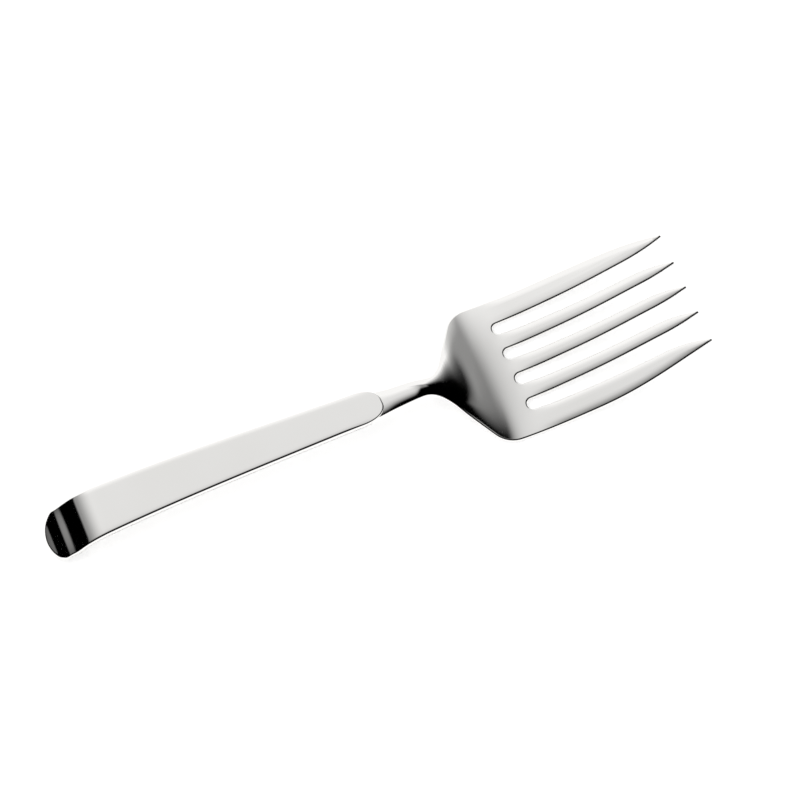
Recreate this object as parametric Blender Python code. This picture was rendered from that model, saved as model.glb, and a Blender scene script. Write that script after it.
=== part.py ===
"""Serving fork with a hollow handle.

Four pieces: the head, which is one forging with five tines, palm, neck, bolster and tang; the pressed top
shell of the handle; its pressed bottom shell; and the cement that holds the tang between them.

All sizes are in metres. X runs from the butt of the handle to the tips of the tines, Y across the fork and
Z up. The fork lies on the plane z = 0 as it does on a table. Stations along the fork are measured from the
butt, and every object is moved back by half the length, so that the origin is under the middle of the fork.
"""

from math import acos, ceil, cos, pi, radians, sin, sqrt, tan

import bmesh
import bpy
import numpy as np
from mathutils import Vector

# Clearances
FIT = 0.0003                  # gap between pieces that touch

# Handle, seen from above
HANDLE_LENGTH = 0.1246        # butt edge to the front of the tongue
BUTT_WIDTH = 0.0195           # across the handle at the butt, if its taper ran on to the edge
FRONT_WIDTH = 0.0125          # across the handle where the tongue begins
BUTT_RADIUS = 0.0135          # arc of the butt edge
BUTT_CORNER = 12.0            # sharpness of the two butt corners
TONGUE_LENGTH = 0.0105        # rounded front of the top facet
TONGUE_FULLNESS = 2.5         # 2 would make it half an ellipse, and more fills its corners
PINCH = 0.0003                # slight waist across the ledge
NOSE_WIDTH = 0.0016           # flat at the middle of the butt arc and of the tongue

# Handle, seen from the side
CREST_HEIGHT = 0.0153         # highest point of the top facet
CREST_TO_TIP = 0.0206         # from the crest to the front of the tongue
TONGUE_FALL = 0.0004          # how far the facet drops from the crest to its front
ARCH_DROP = 0.0072            # how far the arch alone falls from the crest to the butt
ARCH_POWER = 3.3
CURL_START = 0.0216           # behind this station the end curls down to the table,
CURL_BLEND = 0.0080           # over this length softly and then at an even slope
CURL_SLOPE = 0.275
SHOULDER_START = 0.0074       # the shoulder rolls down between these two stations
SHOULDER_LENGTH = 0.0070
SHOULDER_DROP = 0.0012
LEDGE_START = 0.0019          # the second roll, ahead of the lip
LEDGE_LENGTH = 0.0043
LEDGE_DROP = 0.0009
CROWN = 0.0010                # how far the facet falls off to its two edges at the butt
CROWN_START = 0.0116
CROWN_LENGTH = 0.0080
HANDLE_THICKNESS = 0.0065     # facet to belly
FOOT_BLEND = 0.0010           # how softly the belly meets the flat foot
SIDE_SHARE = 0.38             # part of the thickness that is upright side wall
FACET_EDGE = 0.0008           # rounding of the edge between facet and side wall,
TONGUE_EDGE = 0.0004          # and round the tongue
EDGE_FADE = 0.0120            # length over which one goes over into the other
BELLY_TURN = 0.0009           # rounding under the foot
BELLY_SHARE = 0.86            # part of the half width that the belly curves over

# Shells and what is inside them
SHELL_WALL = 0.0007
TONGUE_THICKNESS = 0.0008
SHELL_FRONT_SETBACK = 0.0063  # from the front of the tongue back to the bolster joint
LIP_SOLID = 0.0068            # the shells are closed up to this station
SEAM_END = 0.0052             # the seam turns down to the foot here
SEAM_CURVE = 0.0030           # from that turn to where the seam runs along the side wall
FILLER_START = 0.0098         # the filler begins here, behind the solid lip
TANG_LENGTH = 0.0350
TANG_WIDTH = 0.0060
TANG_THICKNESS = 0.0026
TANG_BITE = 0.0020            # how far the tang runs into the bolster

# Head, seen from above
BOLSTER_WIDTH = 0.0111
NECK_WIDTH = 0.0066
NECK_TAPER = 0.0022           # how much wider the neck is where it leaves the bolster
BOLSTER_LENGTH = 0.0095       # joint with the handle to the start of the neck
NECK_LENGTH = 0.0180          # to the corner where the back edges set off
HEEL_LENGTH = 0.0150          # from that corner to the shoulder corners
PALM_LENGTH = 0.0123          # shoulder corners to the slot ends
TINE_LENGTH = 0.0666          # slot ends to the tips
HEEL_FILLET = 0.0120
SHOULDER_RADIUS = 0.0100
TINE_COUNT = 5
TINE_PITCH = 0.0104
TINE_WIDTH = 0.0064           # inner tines at the slot ends
TINE_END_WIDTH = 0.0046       # inner tines where the points begin
OUTER_TINE_WIDTH = 0.0092
OUTER_TINE_END_WIDTH = 0.0066
POINT_LENGTH = 0.0090
TIP_WIDTH = 0.0008
POINT_RADIUS = 0.0550
SIDE_RADIUS = 0.2050          # long curve of the outer tines' outer edges
SIDE_STRAIGHT = 0.0009        # how much room that curve keeps before the tips
TIP_SHIFT = 0.0001            # outer tips lie this far outside their pitch line

# Head, seen from the side
PLATE_EDGE = 0.0003           # rounding of every edge of the plate
NECK_THICKNESS = 0.0044
PALM_THICKNESS = 0.0020
TIP_THICKNESS = 0.0011
REST_FLAT = 0.00005           # depth of the flat that the palm rests on
SHOULDER_LIFT = 0.0003        # the palm is dished a little, and rises this much to the shoulders
TINE_LIFT = 0.0002            # and this much to the outer tines at the slot ends
DISH_POWER = 2.5

# How finely the shapes are built
ARC_SAG = 0.00004             # how far a chord may stand off its arc
HEAD_STEP = 0.0025            # between the cuts across the neck and the palm
TINE_STEP = 0.0060            # between the cuts across the tines
WELD = 0.000001               # points closer than this are one point
OVERRUN = 0.0100              # how far cutting blocks reach past what they cut

# Worked out from the sizes above
JOINT = HANDLE_LENGTH - SHELL_FRONT_SETBACK
BOLSTER_BACK = JOINT + FIT
NECK_START = BOLSTER_BACK + BOLSTER_LENGTH
HEEL_CORNER = NECK_START + NECK_LENGTH
SHOULDER_CORNER = HEEL_CORNER + HEEL_LENGTH
SLOT_END = SHOULDER_CORNER + PALM_LENGTH
LENGTH = SLOT_END + TINE_LENGTH
CREST = HANDLE_LENGTH - CREST_TO_TIP
TONGUE_START = HANDLE_LENGTH - TONGUE_LENGTH
HALF_WIDTH = (TINE_COUNT - 1) / 2 * TINE_PITCH - TINE_WIDTH / 2 + OUTER_TINE_WIDTH

STEEL = ("polished_steel", (0.80, 0.79, 0.77, 1.0), 1.0, 0.10)
CEMENT = ("handle_cement", (0.42, 0.40, 0.37, 1.0), 0.0, 0.85)


def ease(t):
    """Step from 0 to 1 that starts and ends flat and without curvature."""
    t = min(max(t, 0.0), 1.0)
    return t * t * t * (10 - 15 * t + 6 * t * t)


def mix(a, b, t):
    return a + (b - a) * t


def spline(stations):
    """Smooth curve through the stations (position, value), with no curvature at its two ends."""
    x, y = (np.array(column) for column in zip(*stations))
    step = np.diff(x)
    slope = np.diff(y) / step
    matrix = np.eye(len(x))
    right = np.zeros(len(x))
    for i in range(1, len(x) - 1):
        matrix[i, i - 1:i + 2] = step[i - 1], 2 * (step[i - 1] + step[i]), step[i]
        right[i] = 6 * (slope[i] - slope[i - 1])
    bend = np.linalg.solve(matrix, right)

    def value(at):
        at = min(max(at, x[0]), x[-1])
        i = min(max(int(np.searchsorted(x, at)) - 1, 0), len(step) - 1)
        a = x[i + 1] - at
        b = at - x[i]
        cubic = (bend[i] * a ** 3 + bend[i + 1] * b ** 3) / (6 * step[i])
        start = (y[i] / step[i] - bend[i] * step[i] / 6) * a
        end = (y[i + 1] / step[i] - bend[i + 1] * step[i] / 6) * b
        return float(cubic + start + end)

    return value


# Handle shape

def facet_height(s):
    """Middle of the top facet of the handle: an arch, then the curl with two soft rolls down to the butt."""
    if s > CREST:
        return CREST_HEIGHT - TONGUE_FALL * ((s - CREST) / CREST_TO_TIP) ** 2
    arch = CREST_HEIGHT - ARCH_DROP * ((CREST - s) / CREST) ** ARCH_POWER
    behind = max(CURL_START - s, 0.0)
    soft = min(behind, CURL_BLEND)
    curl = CURL_SLOPE * (soft * soft / (2 * CURL_BLEND) + behind - soft)
    shoulder = SHOULDER_DROP * ease((SHOULDER_START + SHOULDER_LENGTH - s) / SHOULDER_LENGTH)
    ledge = LEDGE_DROP * ease((LEDGE_START + LEDGE_LENGTH - s) / LEDGE_LENGTH)
    return arch - curl - shoulder - ledge


def crown_drop(s, y):
    """How far the facet lies below its middle at this offset."""
    return CROWN * ease((CROWN_START - s) / CROWN_LENGTH) * (2 * y / BUTT_WIDTH) ** 2


def belly_height(s):
    """Underside of the handle: parallel to the facet, then flat on the table toward the butt."""
    free = facet_height(s) - HANDLE_THICKNESS
    if free >= FOOT_BLEND:
        return free
    return max(free + FOOT_BLEND, 0.0) ** 2 / (4 * FOOT_BLEND)


def seam_height(s):
    return mix(facet_height(s), belly_height(s), SIDE_SHARE)


def handle_half_width(s):
    if s > TONGUE_START:
        reach = min((s - TONGUE_START) / TONGUE_LENGTH, 1.0)
        narrowing = (1 - reach ** TONGUE_FULLNESS) ** (1 / TONGUE_FULLNESS)
        return max(FRONT_WIDTH / 2 * narrowing, NOSE_WIDTH / 2)
    side = mix(BUTT_WIDTH, FRONT_WIDTH, s / TONGUE_START) / 2
    waist = LEDGE_START + LEDGE_LENGTH
    side -= PINCH * np.exp(-((s - waist) / (LEDGE_LENGTH / 2)) ** 2)
    if s >= BUTT_RADIUS:
        return side
    arc = max(sqrt(s * (2 * BUTT_RADIUS - s)), NOSE_WIDTH / 2)
    return (arc ** -BUTT_CORNER + side ** -BUTT_CORNER) ** (-1 / BUTT_CORNER)


def handle_section(s, inset):
    """Closed outline across the handle, as (y, z) from the right edge of the facet round under the belly."""
    slope = (facet_height(s + FIT) - facet_height(s - FIT)) / (2 * FIT)
    wall = inset * sqrt(1 + slope * slope)
    half = handle_half_width(s) - inset
    top = facet_height(s) - wall
    bottom = belly_height(s) + wall
    seam = mix(top, bottom, SIDE_SHARE)
    edge = mix(FACET_EDGE, TONGUE_EDGE, ease((s - JOINT) / EDGE_FADE + 1))
    edge = min(max(edge - inset, edge / 3), (top - seam) / 2, half / 2)
    foot = 1 - ease((s - LEDGE_START) / (2 * SHOULDER_LENGTH))
    turn = mix(BELLY_SHARE * half, min(BELLY_TURN, half / 2), foot)
    brink = half - edge
    right = [(share * brink, top - crown_drop(s, share * brink)) for share in (0.0, 0.4, 0.75)]
    low = min(crown_drop(s, brink), top - seam - 1.5 * edge)
    for a in np.linspace(pi / 2, 0, 4):
        right.append((brink + edge * cos(a), top - low - edge + edge * sin(a)))
    for a in np.linspace(0, pi / 2, 7):
        right.append((half - turn + turn * cos(a), seam - (seam - bottom) * sin(a)))
    return right + [(-y, z) for y, z in reversed(right[1:])]


def handle_stations(first, last):
    """Stations from first to last, closest together round the butt, on the rolls and in the tongue."""
    butt = [BUTT_RADIUS * (1 - cos(radians(a))) for a in (8, 16, 24, 32, 40, 48, 54)]
    rolls = np.linspace(butt[-1] + 0.0009, SHOULDER_START + 1.6 * SHOULDER_LENGTH, 12)
    arch = np.linspace(rolls[-1] + 0.004, TONGUE_START, 12)
    tongue = [TONGUE_START + TONGUE_LENGTH * sin(radians(a)) for a in (15, 30, 43, 55, 66, 76, 84)]
    inner = [s for s in (*butt, *rolls, *arch, *tongue) if first + FIT / 4 < s < last - FIT / 4]
    return [first, *inner, last]


# Head shape

def head_top():
    """Height of the top of the head along its middle line, as a smooth curve."""
    under_tongue = facet_height(HANDLE_LENGTH) - TONGUE_THICKNESS - FIT
    palm = PALM_THICKNESS - REST_FLAT
    return spline([
        (BOLSTER_BACK, facet_height(BOLSTER_BACK) - TONGUE_THICKNESS - FIT),
        (HANDLE_LENGTH, under_tongue),
        (NECK_START + 0.20 * NECK_LENGTH, under_tongue + 0.0005),
        (NECK_START + 0.54 * NECK_LENGTH, under_tongue + 0.0003),
        (NECK_START + 0.87 * NECK_LENGTH, under_tongue - 0.0017),
        (HEEL_CORNER + 0.20 * HEEL_LENGTH, mix(palm, under_tongue, 0.53)),
        (HEEL_CORNER + 0.60 * HEEL_LENGTH, mix(palm, under_tongue, 0.28)),
        (SHOULDER_CORNER + 0.08 * PALM_LENGTH, mix(palm, under_tongue, 0.10)),
        (SHOULDER_CORNER + 0.70 * PALM_LENGTH, palm + 0.00025),
        (SLOT_END + 0.04 * TINE_LENGTH, palm),
        (SLOT_END + 0.25 * TINE_LENGTH, palm + 0.0014),
        (SLOT_END + 0.47 * TINE_LENGTH, palm + 0.0042),
        (SLOT_END + 0.69 * TINE_LENGTH, palm + 0.0085),
        (SLOT_END + 0.87 * TINE_LENGTH, palm + 0.0119),
        (LENGTH, palm + 0.0131),
    ])


def head_thickness():
    bolster = HANDLE_THICKNESS - TONGUE_THICKNESS - FIT
    return spline([
        (BOLSTER_BACK, bolster),
        (HANDLE_LENGTH, mix(NECK_THICKNESS, bolster, 0.5)),
        (NECK_START + 0.10 * NECK_LENGTH, NECK_THICKNESS),
        (NECK_START + 0.60 * NECK_LENGTH, NECK_THICKNESS),
        (HEEL_CORNER + 0.20 * HEEL_LENGTH, mix(PALM_THICKNESS, NECK_THICKNESS, 0.35)),
        (HEEL_CORNER + 0.80 * HEEL_LENGTH, mix(PALM_THICKNESS, NECK_THICKNESS, 0.05)),
        (SLOT_END, PALM_THICKNESS),
        (SLOT_END + 0.5 * TINE_LENGTH, mix(PALM_THICKNESS, TIP_THICKNESS, 0.35)),
        (LENGTH, TIP_THICKNESS),
    ])


def dish_lift():
    """How far the dished plate has risen at its outer edge, along the head."""
    return spline([
        (BOLSTER_BACK, 0.0),
        (NECK_START + 0.80 * NECK_LENGTH, 0.0),
        (HEEL_CORNER + 0.35 * HEEL_LENGTH, 0.5 * SHOULDER_LIFT),
        (SHOULDER_CORNER, SHOULDER_LIFT),
        (SLOT_END, mix(TINE_LIFT, SHOULDER_LIFT, 0.1)),
        (SLOT_END + 0.25 * TINE_LENGTH, TINE_LIFT),
        (SLOT_END + 0.70 * TINE_LENGTH, 0.25 * TINE_LIFT),
        (LENGTH, 0.0),
    ])


def rounded(corners):
    """Points along a path of corners (x, y, radius), each corner replaced by an arc of its radius."""
    points = []
    for i, (x, y, radius) in enumerate(corners):
        here = Vector((x, y))
        if radius == 0 or i in (0, len(corners) - 1):
            points.append(here)
            continue
        back = (Vector(corners[i - 1][:2]) - here).normalized()
        ahead = (Vector(corners[i + 1][:2]) - here).normalized()
        turn = pi - back.angle(ahead)
        centre = here + (back + ahead).normalized() * radius / cos(turn / 2)
        start = here + back * radius * tan(turn / 2) - centre
        steps = max(2, ceil(turn / (2 * acos(1 - min(ARC_SAG / radius, 1.0)))))
        side = 1 if back.cross(ahead) < 0 else -1
        for step in range(steps + 1):
            a = side * turn * step / steps
            turned = (start.x * cos(a) - start.y * sin(a), start.x * sin(a) + start.y * cos(a))
            points.append(centre + Vector(turned))
    return points


def outer_edge_corners():
    """Outer edge of the head from the bolster to the outer tip."""
    tip = (TINE_COUNT - 1) / 2 * TINE_PITCH + TIP_SHIFT
    tip += (OUTER_TINE_WIDTH - TINE_WIDTH) / 3
    narrowing = HALF_WIDTH - tip - TIP_WIDTH / 2
    side_corner = LENGTH - sqrt(SIDE_RADIUS * narrowing / 2) - SIDE_STRAIGHT
    return [
        (BOLSTER_BACK, 0, 0),
        (BOLSTER_BACK, BOLSTER_WIDTH / 2, PLATE_EDGE),
        (NECK_START, (NECK_WIDTH + NECK_TAPER) / 2, POINT_RADIUS),
        (HEEL_CORNER, NECK_WIDTH / 2, HEEL_FILLET),
        (SHOULDER_CORNER, HALF_WIDTH, SHOULDER_RADIUS),
        (side_corner, HALF_WIDTH, SIDE_RADIUS),
        (LENGTH, tip + TIP_WIDTH / 2, TIP_WIDTH * 0.45),
        (LENGTH, tip - TIP_WIDTH / 2, TIP_WIDTH * 0.45),
    ]


def head_outline():
    """Closed outline of the whole head: the outer edge, then tine by tine in to the middle, mirrored."""
    corners = outer_edge_corners()
    end = (TINE_COUNT - 1) // 2
    slot_radius = (TINE_PITCH - TINE_WIDTH) / 2 * 0.995
    point = LENGTH - POINT_LENGTH
    for tine in range(end, 0, -1):
        middle = tine * TINE_PITCH
        inner = middle - TINE_WIDTH / 2
        below = (tine - 1) * TINE_PITCH + TINE_WIDTH / 2
        point_inner = middle - TINE_END_WIDTH / 2
        if tine == end:
            point_inner = HALF_WIDTH - OUTER_TINE_WIDTH + (OUTER_TINE_WIDTH - OUTER_TINE_END_WIDTH) * 0.45
        corners += [
            (point, point_inner, POINT_RADIUS),
            (SLOT_END, inner, slot_radius),
            (SLOT_END, below, slot_radius),
            (point, (tine - 1) * TINE_PITCH + TINE_END_WIDTH / 2, POINT_RADIUS),
            (LENGTH, (tine - 1) * TINE_PITCH + TIP_WIDTH / 2, TIP_WIDTH * 0.45),
        ]
        if tine > 1:
            corners.append((LENGTH, (tine - 1) * TINE_PITCH - TIP_WIDTH / 2, TIP_WIDTH * 0.45))
    corners.append((LENGTH, 0, 0))
    upper = rounded(corners)
    lower = [Vector((p.x, -p.y)) for p in upper]
    return lower + upper[-2:0:-1]


# Building blocks

def collection(name):
    made = bpy.data.collections.new(name)
    bpy.context.scene.collection.children.link(made)
    return made


def material(name, colour, metallic, roughness):
    made = bpy.data.materials.get(name) or bpy.data.materials.new(name)
    made.use_nodes = True
    made.diffuse_color = colour
    shader = made.node_tree.nodes["Principled BSDF"]
    shader.inputs["Base Color"].default_value = colour
    shader.inputs["Metallic"].default_value = metallic
    shader.inputs["Roughness"].default_value = roughness
    return made


def add_object(name, mesh, home):
    made = bpy.data.objects.new(name, mesh)
    made.location.x = -LENGTH / 2
    home.objects.link(made)
    return made


def add_cutter(name, mesh, home):
    made = add_object(name, mesh, home)
    made.hide_render = True
    made.display_type = "WIRE"
    return made


def combine(piece, other, operation):
    step = piece.modifiers.new(other.name, "BOOLEAN")
    step.operation = operation
    step.solver = "EXACT"
    step.object = other


def finish(piece, look):
    piece.data.materials.append(material(*look))
    piece.data.shade_smooth()
    piece.data.set_sharp_from_angle(angle=radians(30))


def plate(name, outline, half_thickness, edge=0.0):
    """Flat plate with the given outline, in the XY plane round z = 0, with its edges rounded."""
    curve = bpy.data.curves.new(name, "CURVE")
    curve.dimensions = "2D"
    curve.fill_mode = "BOTH"
    curve.extrude = half_thickness - edge
    curve.bevel_depth = edge
    curve.bevel_resolution = 1
    curve.offset = -edge
    path = curve.splines.new("POLY")
    path.points.add(len(outline) - 1)
    for point, (x, y) in zip(path.points, outline):
        point.co = (x, y, 0, 1)
    path.use_cyclic_u = True
    holder = bpy.data.objects.new(name, curve)
    bpy.context.scene.collection.objects.link(holder)
    mesh = bpy.data.meshes.new_from_object(holder.evaluated_get(bpy.context.evaluated_depsgraph_get()))
    bpy.data.objects.remove(holder)
    shape = bmesh.new()
    shape.from_mesh(mesh)
    bmesh.ops.remove_doubles(shape, verts=shape.verts, dist=WELD)
    for facing in (1, -1):
        cap = [f for f in shape.faces if f.normal.z * facing > 0.999]
        bmesh.ops.dissolve_faces(shape, faces=cap)
    bmesh.ops.recalc_face_normals(shape, faces=shape.faces)
    shape.to_mesh(mesh)
    shape.free()
    return mesh


def slice_faces(shape, faces, at, normal):
    """Cut the faces along the plane that lies at this distance along the normal."""
    around = {v for f in faces for v in f.verts}
    edges = {e for f in faces for e in f.edges}
    geom = [*around, *edges, *faces]
    bmesh.ops.bisect_plane(shape, geom=geom, plane_co=normal * float(at), plane_no=normal, dist=WELD)


def side_prism(name, profile, half_width):
    """Block with an outline seen from the side as (s, z), reaching half_width to each side."""
    mesh = plate(name, [Vector(p) for p in profile], half_width)
    for vertex in mesh.vertices:
        vertex.co = (vertex.co.x, -vertex.co.z, vertex.co.y)
    return mesh


def loft(name, sections):
    """Closed body through sections, each a list of (x, y, z) with the same number of points."""
    shape = bmesh.new()
    rings = [[shape.verts.new(p) for p in section] for section in sections]
    for back, front in zip(rings, rings[1:]):
        for i in range(len(back)):
            j = (i + 1) % len(back)
            shape.faces.new((back[i], back[j], front[j], front[i]))
    shape.faces.new(rings[0])
    shape.faces.new(rings[-1])
    bmesh.ops.recalc_face_normals(shape, faces=shape.faces)
    mesh = bpy.data.meshes.new(name)
    shape.to_mesh(mesh)
    shape.free()
    return mesh


def handle_body(name, inset, first, last):
    sections = []
    for s in handle_stations(first, last):
        sections.append([(s, y, z) for y, z in handle_section(s, inset)])
    return loft(name, sections)


def seam_block(name, above):
    """Everything above or below the seam, which runs along the side walls and turns down to the foot."""
    gap = -FIT / 2 if above else FIT / 2
    turn_s = SEAM_END - gap
    run = [(s, seam_height(s) + gap) for s in handle_stations(SEAM_END + SEAM_CURVE, HANDLE_LENGTH)]
    front = HANDLE_LENGTH + OVERRUN
    run.append((front, run[-1][1]))
    turn = [(turn_s, -OVERRUN), (turn_s, 0.3 * run[0][1])]
    if above:
        top = CREST_HEIGHT + OVERRUN
        outline = [(-OVERRUN, -OVERRUN)] + turn + run + [(front, top), (-OVERRUN, top)]
    else:
        outline = turn + run + [(front, -OVERRUN)]
    return side_prism(name, outline, BUTT_WIDTH)


# The four pieces

def press(mesh):
    """Forge the flat blank: bend it to the side view, dish the palm, and round the neck."""
    top_of = head_top()
    thickness_of = head_thickness()
    lift_of = dish_lift()
    edge = rounded(outer_edge_corners())[1:]
    edge_s = [p.x for p in edge]
    edge_y = [p.y for p in edge]
    for vertex in mesh.vertices:
        s, y, k = vertex.co.x, vertex.co.y, vertex.co.z / (PALM_THICKNESS / 2)
        thick = thickness_of(s)
        half = float(np.interp(s, edge_s, edge_y))
        across = min(abs(y) / (half + PLATE_EDGE / 2), 1.0)
        drop = thick / 2 * (1 - sqrt(1 - across ** 2))
        flat = ease((s - HEEL_CORNER) / (HEEL_LENGTH + PALM_LENGTH / 2))
        under_tongue = 1 - ease((s - BOLSTER_BACK) / BOLSTER_LENGTH)
        lift = lift_of(s) * (abs(y) / HALF_WIDTH) ** DISH_POWER
        top = top_of(s) + lift - drop * (1 - flat) * (1 - 0.7 * under_tongue)
        bottom = top_of(s) - thick + lift + drop * (1 - flat)
        vertex.co.z = max(mix(bottom, top, (k + 1) / 2), 0.0)


def make_head(parts, cutters):
    mesh = plate("fork_head", head_outline(), PALM_THICKNESS / 2, PLATE_EDGE)
    shape = bmesh.new()
    shape.from_mesh(mesh)
    palm_end = SLOT_END + 0.15 * TINE_LENGTH
    for s in np.arange(BOLSTER_BACK + HEAD_STEP, palm_end, HEAD_STEP):
        slice_faces(shape, shape.faces[:], s, Vector((1, 0, 0)))
    for s in np.arange(palm_end + TINE_STEP, LENGTH - TINE_STEP / 2, TINE_STEP):
        slice_faces(shape, shape.faces[:], s, Vector((1, 0, 0)))
    for i in range(1 - TINE_COUNT, TINE_COUNT):
        slice_faces(shape, shape.faces[:], i * TINE_PITCH / 2, Vector((0, 1, 0)))
    for share in (-0.85, -0.6, -0.3, 0.3, 0.6, 0.85):
        neck = [f for f in shape.faces if f.calc_center_median().x < HEEL_CORNER + HEEL_LENGTH / 2]
        slice_faces(shape, neck, share * NECK_WIDTH / 2, Vector((0, 1, 0)))
    bmesh.ops.triangulate(shape, faces=shape.faces)
    shape.to_mesh(mesh)
    shape.free()
    press(mesh)
    head = add_object("fork_head", mesh, parts)
    combine(head, add_cutter("tang", tang_block("tang", 0.0), cutters), "UNION")
    finish(head, STEEL)
    return head


def tang_block(name, clearance):
    """The straight bar behind the bolster, or with a clearance the slot that it needs."""
    back = BOLSTER_BACK - TANG_LENGTH - clearance
    front = BOLSTER_BACK + TANG_BITE
    middle = (facet_height(JOINT) + belly_height(JOINT)) / 2
    shape = bmesh.new()
    bmesh.ops.create_cube(shape, size=1.0)
    size = Vector((front - back, TANG_WIDTH + 2 * clearance, TANG_THICKNESS + 2 * clearance))
    bmesh.ops.scale(shape, vec=size, verts=shape.verts)
    bmesh.ops.translate(shape, vec=((front + back) / 2, 0, middle), verts=shape.verts)
    mesh = bpy.data.meshes.new(name)
    shape.to_mesh(mesh)
    shape.free()
    return mesh


def make_shells(parts, cutters):
    body = handle_body("handle_cavity", SHELL_WALL, LIP_SOLID, JOINT + FIT)
    cavity = add_cutter("handle_cavity", body, cutters)
    front = HANDLE_LENGTH + FIT
    ledge = [(s, facet_height(s) - TONGUE_THICKNESS) for s in np.linspace(JOINT, front, 5)]
    space = side_prism("bolster_space", [(JOINT, 0.0), *ledge, (front, 0.0)], BUTT_WIDTH)
    bolster_space = add_cutter("bolster_space", space, cutters)
    shells = (("handle_top_shell", "below_seam", False), ("handle_bottom_shell", "above_seam", True))
    for name, seam, above in shells:
        shell = add_object(name, handle_body(name, 0.0, 0.0, HANDLE_LENGTH), parts)
        combine(shell, cavity, "DIFFERENCE")
        combine(shell, add_cutter(seam, seam_block(seam, above), cutters), "DIFFERENCE")
        combine(shell, bolster_space, "DIFFERENCE")
        finish(shell, STEEL)


def make_filler(parts, cutters):
    body = handle_body("handle_filler", SHELL_WALL + FIT, FILLER_START, JOINT - FIT)
    filler = add_object("handle_filler", body, parts)
    combine(filler, add_cutter("tang_slot", tang_block("tang_slot", FIT), cutters), "DIFFERENCE")
    finish(filler, CEMENT)


def main():
    for old in list(bpy.data.objects):
        bpy.data.objects.remove(old)
    parts = collection("serving_fork")
    cutters = collection("cutters")
    make_head(parts, cutters)
    make_shells(parts, cutters)
    make_filler(parts, cutters)


main()
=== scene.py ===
"""Looks of a serving fork with a hollow handle: polished steel on a white table under one overhead light.

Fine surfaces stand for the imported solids, from the same sizes. X runs from the butt to the tips of the
tines, Y across the fork and Z up, all in metres. Stations along the fork, called s, start at the butt.
"""

from math import acos, ceil, cos, pi, radians, sin, tan

import bmesh
import bpy
import numpy as np
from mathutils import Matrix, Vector


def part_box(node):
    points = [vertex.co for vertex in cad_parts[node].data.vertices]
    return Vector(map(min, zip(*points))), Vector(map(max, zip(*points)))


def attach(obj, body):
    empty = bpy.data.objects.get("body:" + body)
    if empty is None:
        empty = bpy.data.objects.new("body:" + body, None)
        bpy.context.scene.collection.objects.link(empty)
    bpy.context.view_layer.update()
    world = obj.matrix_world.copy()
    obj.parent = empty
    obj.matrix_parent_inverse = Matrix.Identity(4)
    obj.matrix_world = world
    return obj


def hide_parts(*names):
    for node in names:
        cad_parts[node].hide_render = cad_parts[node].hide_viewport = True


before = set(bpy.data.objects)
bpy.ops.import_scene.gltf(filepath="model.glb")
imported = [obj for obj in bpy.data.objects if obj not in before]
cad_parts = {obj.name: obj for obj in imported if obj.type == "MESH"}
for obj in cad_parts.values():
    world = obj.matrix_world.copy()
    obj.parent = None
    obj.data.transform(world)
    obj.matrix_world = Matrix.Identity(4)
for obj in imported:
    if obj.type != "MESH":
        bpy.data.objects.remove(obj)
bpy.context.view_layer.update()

# Sizes that the frame gives
BUTT_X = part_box("handle_top_shell")[0].x
HANDLE_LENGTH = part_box("handle_top_shell")[1].x - BUTT_X
CREST_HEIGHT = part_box("handle_top_shell")[1].z
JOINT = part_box("handle_bottom_shell")[1].x - BUTT_X
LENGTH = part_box("fork_head")[1].x - BUTT_X
HALF_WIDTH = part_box("fork_head")[1].y

# Handle, seen from above
BUTT_WIDTH = 0.0195           # across the handle at the butt, if its taper ran on to the edge
FRONT_WIDTH = 0.0125          # across the handle where the tongue begins
BUTT_RADIUS = 0.0135          # arc of the butt edge
BUTT_CORNER = 12.0            # sharpness of the two butt corners
TONGUE_LENGTH = 0.0105        # rounded front of the top facet
TONGUE_FULLNESS = 2.5         # 2 would make it half an ellipse, and more fills its corners
PINCH = 0.0003                # slight waist across the ledge
NOSE_WIDTH = 0.0016           # flat at the middle of the butt arc and of the tongue

# Handle, seen from the side
CREST_TO_TIP = 0.0206         # from the crest to the front of the tongue
TONGUE_FALL = 0.0004          # how far the facet drops from the crest to its front
ARCH_DROP = 0.0072            # how far the arch alone falls from the crest to the butt
ARCH_POWER = 3.3
CURL_START = 0.0216           # behind this station the end curls down to the table,
CURL_BLEND = 0.0080           # over this length softly and then at an even slope
CURL_SLOPE = 0.275
SHOULDER_START = 0.0074       # the first roll down to the butt ends here,
SHOULDER_ROLL = 0.0070        # and is this long
SHOULDER_DROP = 0.0012
LEDGE_START = 0.0019          # the second roll, ahead of the lip
LEDGE_ROLL = 0.0043
LEDGE_DROP = 0.0009
HANDLE_THICKNESS = 0.0065     # facet to belly
FOOT_BLEND = 0.0010           # how softly the belly meets the flat foot

# Handle, cut across
CROWN = 0.0002                # how far the facet falls off to its two edges at the butt
CROWN_START = 0.0116
CROWN_LENGTH = 0.0080
SIDE_SHARE = 0.38             # part of the thickness that is upright side wall
FACET_EDGE = 0.0008           # rounding of the edge between facet and side wall,
TONGUE_EDGE = 0.0005          # and round the tongue
EDGE_FADE = 0.0120            # length over which one goes over into the other
FACET_ROLL = 0.00020          # polishing has rolled the facet off toward its edges: how far it falls,
ROLL_REACH = 0.0023           # and from how far in
BELLY_TURN = 0.0009           # rounding under the foot
BELLY_SHARE = 0.86            # part of the half width that the belly curves over
SHELL_WALL = 0.0007
TONGUE_THICKNESS = 0.0008
SEAM = 0.00005                # half the hairline between the shells
SEAM_END = 0.0052             # behind this station the shells are closed and have no seam
MOUTH_DEPTH = 0.0002          # how far the tang's front reaches back into the shells
TANG_SHARE = 0.5              # how much of the room inside the shells the tang fills ahead of them

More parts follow.
